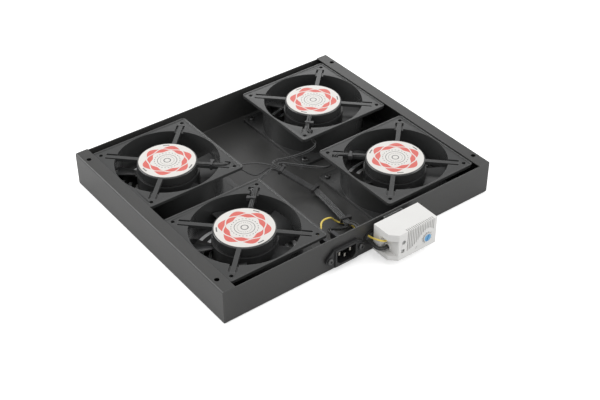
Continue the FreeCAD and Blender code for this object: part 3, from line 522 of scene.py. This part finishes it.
# ------------------------------------------------------------------- workshop
class Workshop:
    """The modelling steps that every piece shares."""

    SHARP_ANGLE = math.radians(40)
    FLAT_ANGLE = math.radians(0.4)
    MERGE_DISTANCE = 0.00001
    BEVEL_SEGMENTS = 2
    FLAT_FACE_WEIGHT = 90

    @staticmethod
    def clear_selection() -> None:
        """Leaves edit mode and deselects everything."""
        if bpy.context.object and bpy.context.object.mode != "OBJECT":
            bpy.ops.object.mode_set(mode="OBJECT")
        bpy.ops.object.select_all(action="DESELECT")

    @staticmethod
    def take(piece: bpy.types.Object) -> bpy.types.Object:
        """Makes a piece the only one selected, and the active one."""
        Workshop.clear_selection()
        piece.select_set(True)
        bpy.context.view_layer.objects.active = piece
        return piece

    @staticmethod
    def select(piece: bpy.types.Object, wanted: Callable[[Vector, Vector], bool]) -> None:
        """Selects faces in edit mode.

        Args:
            piece: the piece, in edit mode.
            wanted: says yes or no to a face, from its centre and its normal.
        """
        bpy.ops.mesh.select_all(action="DESELECT")
        bpy.ops.object.mode_set(mode="OBJECT")
        for face in piece.data.polygons:
            face.select = wanted(face.center, face.normal)
        bpy.ops.object.mode_set(mode="EDIT")
        bpy.ops.mesh.select_mode(type="FACE")

    @staticmethod
    def bevelled(piece: bpy.types.Object, width: float, edge_slot: int) -> None:
        """Rounds a piece's sharp edges and applies the modifier.

        Args:
            piece: the piece.
            width: the bevel's width in metres.
            edge_slot: the material slot that the new faces take, or -1.
        """
        bevel = piece.modifiers.new("edge", "BEVEL")
        bevel.width = width
        bevel.segments = Workshop.BEVEL_SEGMENTS
        bevel.limit_method = "ANGLE"
        bevel.angle_limit = Workshop.SHARP_ANGLE
        bevel.use_clamp_overlap = False
        bevel.material = edge_slot
        Workshop.take(piece)
        bpy.ops.object.modifier_apply(modifier=bevel.name)

    @staticmethod
    def cut(piece: bpy.types.Object, tool: bpy.types.Object) -> None:
        """Cuts one piece with another, which is used up."""
        knife = piece.modifiers.new("cut", "BOOLEAN")
        knife.operation = "DIFFERENCE"
        knife.object = tool
        knife.solver = "EXACT"
        Workshop.take(piece)
        bpy.ops.object.modifier_apply(modifier=knife.name)
        bpy.data.objects.remove(tool)

    @staticmethod
    def smooth(piece: bpy.types.Object, angle: float = 32.0) -> None:
        """Shades a piece smooth where its faces meet at less than an angle."""
        Workshop.take(piece)
        bpy.ops.object.shade_smooth_by_angle(angle=math.radians(angle))
        weighted = piece.modifiers.new("flat_faces", "WEIGHTED_NORMAL")
        weighted.keep_sharp = True
        weighted.weight = Workshop.FLAT_FACE_WEIGHT
        bpy.ops.object.modifier_apply(modifier=weighted.name)

    @staticmethod
    def settle(piece: bpy.types.Object, name: str) -> bpy.types.Object:
        """Names a piece and puts its place, turn and scale into its mesh."""
        Workshop.take(piece)
        bpy.ops.object.transform_apply(location=True, rotation=True, scale=True)
        piece.name = name
        piece.data.name = name
        return piece

    @staticmethod
    def copied(piece: bpy.types.Object, name: str, matrix: Matrix) -> bpy.types.Object:
        """Copies a piece that was made at the origin.

        Args:
            piece: the pattern.
            name: the copy's name.
            matrix: where the copy goes.

        Returns:
            The copy, with a mesh of its own.
        """
        mesh = piece.data.copy()
        mesh.name = name
        mesh.transform(matrix)
        made = bpy.data.objects.new(name, mesh)
        bpy.context.scene.collection.objects.link(made)
        return made

    @staticmethod
    def coat(piece: bpy.types.Object, *finishes: Palette) -> None:
        """Gives a piece its materials, in the order of its slots."""
        piece.data.materials.clear()
        for finish in finishes:
            piece.data.materials.append(finish.material())

    @staticmethod
    def refined(
        node: str, width: float, *finishes: Palette, body: str = "tray", split: bool = False
    ) -> bpy.types.Object:
        """Makes the finished form of one solid: a merged copy with its flat
        faces whole, its edges rounded and its curves shaded smooth.

        Args:
            node: the solid's name.
            width: the width of the rounded edges in metres.
            finishes: the finish, and that of the edges where it differs.
            body: the body that the piece moves with.
            split: whether the flat faces are cut into triangles before the
                edges are rounded, as a flange with a raised rim needs.

        Returns:
            The finished piece, which stands for the solid.
        """
        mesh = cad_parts[node].data.copy()
        piece = bpy.data.objects.new(f"{node}_finished", mesh)
        bpy.context.scene.collection.objects.link(piece)
        Workshop.coat(piece, *finishes)
        Workshop.take(piece)
        bpy.ops.object.mode_set(mode="EDIT")
        bpy.ops.mesh.select_all(action="SELECT")
        bpy.ops.mesh.remove_doubles(threshold=Workshop.MERGE_DISTANCE)
        bpy.ops.mesh.dissolve_limited(angle_limit=Workshop.FLAT_ANGLE, use_dissolve_boundaries=False)
        if split:
            bpy.ops.mesh.select_all(action="SELECT")
            bpy.ops.mesh.quads_convert_to_tris(quad_method="BEAUTY", ngon_method="BEAUTY")
        bpy.ops.object.mode_set(mode="OBJECT")
        for face in mesh.polygons:
            face.material_index = 0
        Workshop.bevelled(piece, width, 1 if len(finishes) > 1 else -1)
        Workshop.smooth(piece)
        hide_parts(node)
        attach(piece, body)
        LOG.info("%s: %d faces", piece.name, len(piece.data.polygons))
        return piece


# ---------------------------------------------------------------------- wiring
@dataclass
class Harness:
    """The wires and ties: each fan's two leads, and the yellow supply wire.

    Lengths are in millimetres. Where a field holds two values, the first is
    the neutral lead's, which runs low, and the second the live lead's. A
    route holds the lead's column in the bundle, how far before the first tie
    it joins the bundle, and both leads' way points from the fan to there.
    """

    wire: float = 1.5
    supply: float = 2.0
    pitch: float = 1.85
    strut_top: float = 37.0
    can_radius: float = 33.0
    fan_height: float = 38.0
    sheet: float = 1.2
    gap: float = 0.1
    leave_u: tuple[float, float] = (62.5, 60.5)
    hole_u: tuple[float, float] = (67.4, 64.9)
    hole_w: float = 6.0
    exit_drop: tuple[float, float] = (11.7, 9.5)
    exit_reach: float = 11.5
    exit_fall: float = 0.6
    across: Triple = (0.985, 0.174, 0.0)
    wall_y: float = -143.0
    inlet: tuple[float, float] = (-27.4, 15.8)
    tab_side: float = 7.0
    tab_rise: float = 2.0
    sleeve_end: float = 28.5
    recess_x: float = 13.6
    inside: float = 2.0
    bundle: tuple = (
        (4.0, -6.0, 20.0),
        (17.0, -26.0, 9.5),
        (21.8, -40.0, 6.5),
        (15.5, -85.0, 6.6),
        (12.4, -99.0, 7.0),
    )
    first_tie: tuple = ((0.0, 1.0, 23.0), (8.0, -14.0, -6.0))
    line_entry: tuple[float, float] = (-164.4, 25.8)
    lead_entry: tuple[float, float] = (-164.3, 16.9)
    supply_length: float = 155.0
    lengths: dict = field(
        default_factory=lambda: {
            "a": (258.0, 284.0),
            "b": (264.0, 295.0),
            "c": (283.0, 306.0),
            "d": (272.0, 297.0),
        }
    )
    routes: dict = field(
        default_factory=lambda: {
            "a": (1, 12.0, ((-27, 14, 18.5), (-15, 13, 21.5)), ((-22, 22, 31),)),
            "b": (0, 8.0, ((-38, -4, 24), (-16, 4.5, 24.5)), ((-38, -4, 26.4), (-16, 4.5, 26.6))),
            "c": (
                2,
                14.0,
                ((44, 8, 24.5), (20, 10, 25), (3, 14.5, 26.5)),
                ((44, 8, 27), (20, 10, 27.2), (3, 14.5, 28.6)),
            ),
            "d": (
                3,
                9.0,
                ((29, -20, 25.5), (14, -2, 25), (5.5, 8.5, 25.2)),
                ((29, -20, 28), (14, -2, 27.2), (5.5, 8.5, 27.1)),
            ),
        }
    )

    def offset(self, column: int, row: int) -> Vector:
        """Returns one wire's place in the bundle, from the bundle's centre."""
        across = Vector(self.across) * ((column - 1.5) * self.pitch)
        return across + Vector((0, 0, (row - 0.5) * self.pitch))

    def in_fan(self, fan: "AxialFan", along: float, side: float, height: float, out: float = 0.0) -> Vector:
        """Places a point given along a fan's strut.

        Args:
            fan: the fan.
            along: distance from the fan's axis along the strut.
            side: distance to the strut's side.
            height: height in the fan.
            out: distance on towards the fan's side.

        Returns:
            The point in the tray's frame.
        """
        diagonal = math.sqrt(0.5)
        local = Vector(((along - side) * diagonal, (along + side) * diagonal + out, height + self.sheet))
        local.rotate(Matrix.Rotation(math.radians(fan.turn), 3, "Z"))
        return local + Vector((fan.x, fan.y, 0))

    def lead_points(self, fan: "AxialFan", row: int) -> list[Vector]:
        """Returns one lead's way points: from the motor, along the strut, down
        through the fan's corner, to the bundle and on to its terminal.

        Args:
            fan: the fan.
            row: 0 for the neutral lead and 1 for the live one.

        Returns:
            The points in the tray's frame.
        """
        column, join, *ways = self.routes[fan.letter]
        first_tie = Vector(self.first_tie[0])
        heading = Vector(self.first_tie[1]).normalized()
        apart = self.wire / 2 + self.gap
        side = apart if row else -apart
        over = self.strut_top + self.wire / 2 + self.gap / 2
        hole_u = self.hole_u[row]
        depth = self.fan_height - self.exit_drop[row]
        start_u = math.sqrt(self.can_radius**2 - side**2) + self.gap
        points = [
            self.in_fan(fan, start_u, side, over),
            self.in_fan(fan, self.leave_u[row], side, over),
            self.in_fan(fan, hole_u, self.hole_w, over),
            self.in_fan(fan, hole_u, self.hole_w, depth),
            self.in_fan(fan, hole_u, self.hole_w, depth - self.exit_fall, self.exit_reach),
        ]
        offset = self.offset(column, row)
        points += [Vector(point) for point in ways[row]]
        points.append(first_tie + offset - heading * join)
        points += [Vector(point) + offset for point in self.bundle]
        return points + (self.live_end(column) if row else self.neutral_end(column))

    def neutral_end(self, column: int) -> list[Vector]:
        """Returns a neutral lead's way from the last tie to the inlet's sleeve."""
        layer = 0.5 - column // 2
        shift = (column % 2 - 0.5) * self.pitch
        bundle_x = self.bundle[-1][0] + self.offset(column, 0).x
        turn = Vector((bundle_x - 0.8, -104.0 - shift, 6.15 + layer * 2.3))
        climb = Vector((2.0, turn.y, turn.z))
        tab_x = self.inlet[0] + self.tab_side + shift
        tab = Vector((tab_x, turn.y, self.inlet[1] + self.tab_rise + layer * self.pitch))
        return [turn, climb, tab, Vector((tab.x, self.wall_y + self.sleeve_end + self.gap, tab.z))]

    def live_end(self, column: int) -> list[Vector]:
        """Returns a live lead's way from the last tie out to the thermostat."""
        outer = column in (0, 3)
        right = 1 if column > 1 else -1
        dx = right * self.pitch / 2
        dz = self.pitch / 2 if outer else -self.pitch / 2
        y, z = self.lead_entry
        spread = right * self.pitch * (1.2 if outer else 0.5)
        rise = self.pitch * (0.75 if outer else -0.4)
        points = [
            (12.5 + spread, -113.0, 13.5 + rise),
            (8.8 + dx, -127.0, 15.2 + dz),
            (4.6 + dx, self.wall_y + 4.5, 17.2 + dz),
            (4.6 + dx, self.wall_y - 3.8, 17.0 + dz),
            (3.0 + dx, -158.5 + dx / 2, 15.5 + dz),
            (7.0 + dx / 2, y + dx, z + dz),
            (self.recess_x + self.inside, y + dx, z + dz),
        ]
        return [Vector(point) for point in points]

    def supply_points(self) -> list[Vector]:
        """Returns the yellow wire's way points, from the inlet's line sleeve
        under the bundle and out to the thermostat's upper entry."""
        x = self.inlet[0] - self.tab_side
        z = self.inlet[1] + self.tab_rise
        y, entry_z = self.line_entry
        points = [
            (x, self.wall_y + self.sleeve_end + self.gap, z),
            (x, -110.0, z),
            (-28.0, -106.5, 24.5),
            (-24.0, -100.5, 24.0),
            (-17.0, -96.0, 23.0),
            (-8.0, -94.5, 20.5),
            (-1.0, -90.5, 14.0),
            (5.0, -87.0, 6.0),
            (9.8, -90.2, 2.5),
            (16.8, -99.5, 2.8),
            (16.0, -107.5, 4.0),
            (9.6, -115.0, 8.6),
            (4.0, -128.0, 16.8),
            (3.7, self.wall_y + 5.5, 22.7),
            (3.7, self.wall_y - 3.8, 22.9),
            (3.0, -152.5, 25.0),
            (5.0, -162.2, 26.9),
            (9.5, y, entry_z),
            (self.recess_x + self.inside, y, entry_z),
        ]
        return [Vector(point) for point in points]

    def strand(
        self, name: str, points: list[Vector], diameter: float, finish: Palette, node: str
    ) -> bpy.types.Object:
        """Makes one wire along its way points.

        Args:
            name: the wire's name.
            points: its way points in millimetres.
            diameter: its width over the insulation in millimetres.
            finish: its insulation.
            node: the solid that it stands for.

        Returns:
            The wire, a smooth curve with round section.
        """
        curve = bpy.data.curves.new(name, "CURVE")
        curve.dimensions = "3D"
        curve.bevel_depth = diameter / 2 * MM
        curve.bevel_resolution = 3
        curve.resolution_u = 10
        curve.use_fill_caps = True
        spline = curve.splines.new("NURBS")
        spline.points.add(len(points) - 1)
        for target, point in zip(spline.points, points):
            target.co = (*(point * MM), 1.0)
        spline.order_u = 3
        spline.use_endpoint_u = True
        curve.materials.append(finish.material())
        made = bpy.data.objects.new(name, curve)
        bpy.context.scene.collection.objects.link(made)
        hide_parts(node)
        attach(made, "tray")
        points[0] * MM
        LOG.info("%s: %d way points", name, len(points))
        return made

    def build(self, fans: list["AxialFan"]) -> None:
        """Makes every wire."""
        for fan in fans:
            for row, name in enumerate(("neutral", "live")):
                self.strand(
                    f"fan_{fan.letter}_{name}_lead",
                    self.lead_points(fan, row),
                    self.wire,
                    Palette.BLACK_WIRE,
                    f"fan_{fan.letter}_leads",
                )
        self.strand(
            "supply_wire_strand",
            self.supply_points(),
            self.supply,
            Palette.YELLOW_WIRE,
            "supply_wire",
        )

    def build_ties(self) -> None:
        """Makes the harness ties from their solids."""
        Workshop.refined("harness_ties", 0.0002, Palette.TIE)


# ------------------------------------------------------------------ fasteners
@dataclass
class PanScrew:
    """A pan-head screw with a cross recess, made head up at the origin, in
    metres."""

    head_radius: float = 3.4 * MM
    head_height: float = 2.3 * MM
    crown: float = 0.55
    recess_length: float = 3.4 * MM
    recess_width: float = 0.72 * MM
    recess_depth: float = 1.1
    sides: int = 28

    def build(self, name: str) -> bpy.types.Object:
        """Returns one screw head, its seat at the origin."""
        Workshop.clear_selection()
        bpy.ops.mesh.primitive_cylinder_add(
            vertices=self.sides,
            radius=self.head_radius,
            depth=self.head_height,
            location=(0, 0, self.head_height / 2),
        )
        head = bpy.context.object
        bpy.ops.object.mode_set(mode="EDIT")
        Workshop.select(head, lambda centre, normal: normal.z > 0.9)
        bpy.ops.mesh.bevel(offset=self.head_height * self.crown, segments=4, affect="EDGES")
        bpy.ops.object.mode_set(mode="OBJECT")
        Workshop.settle(head, name)
        for turn in (0.0, math.pi / 2):
            Workshop.clear_selection()
            bpy.ops.mesh.primitive_cube_add(size=1, location=(0, 0, self.head_height), rotation=(0, 0, turn))
            blade = bpy.context.object
            blade.scale = (self.recess_length, self.recess_width, self.head_height * self.recess_depth)
            Workshop.settle(blade, "recess_tool")
            Workshop.cut(head, blade)
        Workshop.smooth(head, 40)
        return head


# ----------------------------------------------------------------------- fans
@dataclass
class AxialFan:
    """One axial fan: housing, impeller, shaft, stator, label, lead tie and the
    screws that hold it to the tray's floor."""

    letter: str
    x: float
    y: float
    turn: float
    screw_pitch: float = 105.0
    plate_low: float = 4.0
    sheet: float = 1.2
    first_spin: float = 0.4
    next_spin: float = 1.3

    def build(self, screw: bpy.types.Object) -> None:
        """Dresses the fan's solids and adds its screws.

        Args:
            screw: the pattern of one screw.
        """
        name = f"fan_{self.letter}_"
        Workshop.refined(name + "frame", 0.00025, Palette.HOUSING, Palette.HOUSING_EDGE, split=True)
        Workshop.refined(name + "impeller", 0.00015, Palette.IMPELLER, body=f"rotor_{self.letter}")
        Workshop.refined(name + "shaft", 0.0001, Palette.STEEL, body=f"rotor_{self.letter}")
        Workshop.refined(name + "stator", 0.0002, Palette.WINDING)
        Workshop.refined(name + "tie", 0.0002, Palette.TIE)
        self.build_label()
        self.build_screws(screw)

    def build_label(self) -> None:
        """Makes the round film label on the motor."""
        piece = Workshop.refined(f"fan_{self.letter}_label", 0.00005, Palette.TIE)
        finish = PrintedLabel(f"fan_{self.letter}_print", (self.x * MM, self.y * MM), math.radians(self.turn))
        piece.data.materials[0] = finish.build()

    def build_screws(self, screw: bpy.types.Object) -> None:
        """Sets one screw on each corner of the lower flange.

        Args:
            screw: the pattern of one screw.
        """
        half = self.screw_pitch / 2
        seat = self.sheet + self.plate_low
        for number, (sx, sy) in enumerate(((1, 1), (-1, 1), (-1, -1), (1, -1))):
            place = Matrix.Translation(millimetres(self.x + sx * half, self.y + sy * half, seat))
            spin = Matrix.Rotation(self.first_spin + number * self.next_spin + self.turn, 4, "Z")
            made = Workshop.copied(screw, f"fan_{self.letter}_screw_{number + 1}", place @ spin)
            Workshop.coat(made, Palette.DARK_SCREW)
            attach(made, "tray")


# ---------------------------------------------------------------- mains inlet
@dataclass
class MainsInlet:
    """The appliance inlet with its pins, sleeves and lug screws."""

    x: float = -27.4
    z: float = 15.8
    face_y: float = -146.0
    screw_pitch: float = 40.0

    def build(self, screw: bpy.types.Object) -> None:
        """Dresses the inlet's solids and adds its two screws.

        Args:
            screw: the pattern of one screw.
        """
        Workshop.refined("inlet_body", 0.00025, Palette.INLET)
        Workshop.refined("inlet_pins", 0.0002, Palette.PIN)
        Workshop.refined("inlet_receptacles", 0.0003, Palette.SLEEVE)
        for number, side in enumerate((-1, 1)):
            place = Matrix.Translation(millimetres(self.x + side * self.screw_pitch / 2, self.face_y, self.z))
            facing = Matrix.Rotation(math.radians(90), 4, "X")
            made = Workshop.copied(screw, f"inlet_screw_{number + 1}", place @ facing)
            Workshop.coat(made, Palette.DARK_SCREW)
            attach(made, "tray")


# ----------------------------------------------------------------- thermostat
@dataclass
class Thermostat:
    """The thermostat, its dial with printed scale, and the rail it clips to."""

    dial_x: float = 52.5
    dial_z: float = 19.6
    front_y: float = -179.5
    dial_radius: float = 5.2
    first_tick: float = -150.0
    last_tick: float = 120.0
    ticks: int = 9
    tick_lengths: tuple[float, float] = (1.5, 1.0)
    tick_gap: float = 0.45
    tick_width: float = 0.55
    tick_sink: float = 0.01

    def build(self) -> None:
        """Dresses the thermostat's solids and prints its scale."""
        Workshop.refined("thermostat_case", 0.0002, Palette.CASE, split=True)
        Workshop.refined("thermostat_back", 0.0002, Palette.CASE)
        Workshop.refined("thermostat_collar", 0.0002, Palette.CASE)
        Workshop.refined("thermostat_dial", 0.0002, Palette.DIAL, body="dial")
        Workshop.refined("thermostat_switch", 0.0002, Palette.SWITCH)
        Workshop.refined("thermostat_terminals", 0.0002, Palette.ZINC)
        Workshop.refined("din_rail", 0.0001, Palette.ZINC)
        Workshop.refined("rail_rivets", 0.0002, Palette.RIVET)
        self.print_scale()

    def print_scale(self) -> None:
        """Prints the ticks round the dial."""
        for number in range(self.ticks):
            share = number / (self.ticks - 1)
            angle = math.radians(90 - (self.first_tick + share * (self.last_tick - self.first_tick)))
            long = self.tick_lengths[number % 2]
            reach = self.dial_radius + self.tick_gap + long / 2
            along = self.dial_x + reach * math.cos(angle)
            up = self.dial_z + reach * math.sin(angle)
            Workshop.clear_selection()
            bpy.ops.mesh.primitive_cube_add(size=1)
            tick = bpy.context.object
            tick.scale = (long * MM, 0.06 * MM, self.tick_width * MM)
            tick.rotation_euler = (0, -angle, 0)
            tick.location = millimetres(along, self.front_y - self.tick_sink, up)
            Workshop.settle(tick, f"scale_tick_{number + 1}")
            Workshop.coat(tick, Palette.PRINT)
            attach(tick, "tray")


# ----------------------------------------------------------------------- tray
@dataclass
class Tray:
    """The folded tray and the grommet in its front wall."""

    def build(self) -> None:
        """Dresses the tray's solids."""
        Workshop.refined("tray_shell", 0.00025, Palette.TRAY, Palette.TRAY_EDGE)
        Workshop.refined("wire_grommet", 0.0003, Palette.RUBBER)


# --------------------------------------------------------------------- studio
@dataclass
class Studio:
    """The camera, the floor and the light.

    Angles are in degrees, the target and the distance in millimetres.
    """

    azimuth: float = -37.15
    elevation: float = 37.49
    roll: float = -0.13
    target: Triple = (-14.06, -51.90, 20.7)
    distance: float = 1256.3
    lens: float = 70.71
    sensor: float = 36.0
    sky_strength: float = 0.7
    floor_size: float = 9.0
    floor_drop: float = 0.0003

    def build_camera(self) -> None:
        """Sets the camera at the object's usual viewing angle."""
        az = math.radians(self.azimuth)
        el = math.radians(self.elevation)
        back = Vector((math.sin(az) * math.cos(el), -math.cos(az) * math.cos(el), math.sin(el)))
        right = Vector((math.cos(az), math.sin(az), 0))
        up = back.cross(right)
        roll = math.radians(self.roll)
        level = right * math.cos(roll) + up * math.sin(roll)
        rise = back.cross(level)
        camera = bpy.data.cameras.new("studio_camera")
        camera.lens = self.lens
        camera.sensor_width = self.sensor
        camera.clip_start = 0.05
        camera.clip_end = 20.0
        holder = bpy.data.objects.new("studio_camera", camera)
        turn = Matrix((level, rise, back)).transposed().to_4x4()
        holder.matrix_world = Matrix.Translation((Vector(self.target) + back * self.distance) * MM) @ turn
        bpy.context.scene.collection.objects.link(holder)
        bpy.context.scene.camera = holder

    def build_floor(self) -> None:
        """Lays the pale floor under the tray."""
        Workshop.clear_selection()
        bpy.ops.mesh.primitive_plane_add(size=self.floor_size, location=(0, 0, -self.floor_drop))
        floor = Workshop.settle(bpy.context.object, "studio_floor")
        floor.data.materials.append(StudioFloor().build())

    def lamp(self, name: str, power: float, size: float, place: Triple, aim: Triple) -> None:
        """Adds one soft lamp.

        Args:
            name: the lamp's name.
            power: its power in watts.
            size: its width in metres.
            place: where it stands, in metres.
            aim: the point it faces, in metres.
        """
        light = bpy.data.lights.new(name, "AREA")
        light.energy = power
        light.size = size
        holder = bpy.data.objects.new(name, light)
        holder.location = place
        holder.rotation_euler = (Vector(place) - Vector(aim)).to_track_quat("Z", "Y").to_euler()
        bpy.context.scene.collection.objects.link(holder)

    def build_light(self) -> None:
        """Lights the object softly from all round."""
        world = bpy.data.worlds.new("studio_world")
        bpy.context.scene.world = world
        world.use_nodes = True
        sky = world.node_tree.nodes["Background"]
        sky.inputs["Color"].default_value = WHITE
        sky.inputs["Strength"].default_value = self.sky_strength
        self.lamp("key_lamp", 12.0, 0.9, (-0.9, 1.0, 0.8), (-0.35, 0.1, 0))
        self.lamp("top_lamp", 6.0, 1.0, (-0.1, -0.2, 2.0), (0, 0, 0))
        self.lamp("fill_lamp", 13.0, 1.1, (1.5, -1.2, 1.0), (0.3, -0.1, 0))
        self.lamp("back_lamp", 2.5, 0.7, (0.97, 1.25, 0.6), (0.1, 0.1, 0))
        bpy.context.scene.view_settings.view_transform = "Standard"


def main() -> None:
    """Builds the whole scene."""
    logging.basicConfig(level=logging.INFO, format="%(message)s")
    studio = Studio()
    studio.build_camera()
    fans = [
        AxialFan("a", -100.5, 73.2, -90.0),
        AxialFan("b", -100.5, -73.2, 0.0),
        AxialFan("c", 100.5, 73.2, 180.0),
        AxialFan("d", 100.5, -73.2, 90.0),
    ]
    harness = Harness()
    harness.build(fans)
    harness.build_ties()
    Tray().build()
    screw = PanScrew().build("pan_screw_pattern")
    for fan in fans:
        fan.build(screw)
    MainsInlet().build(screw)
    bpy.data.objects.remove(screw)
    Thermostat().build()
    studio.build_floor()
    studio.build_light()


if __name__ == "__main__":
    main()
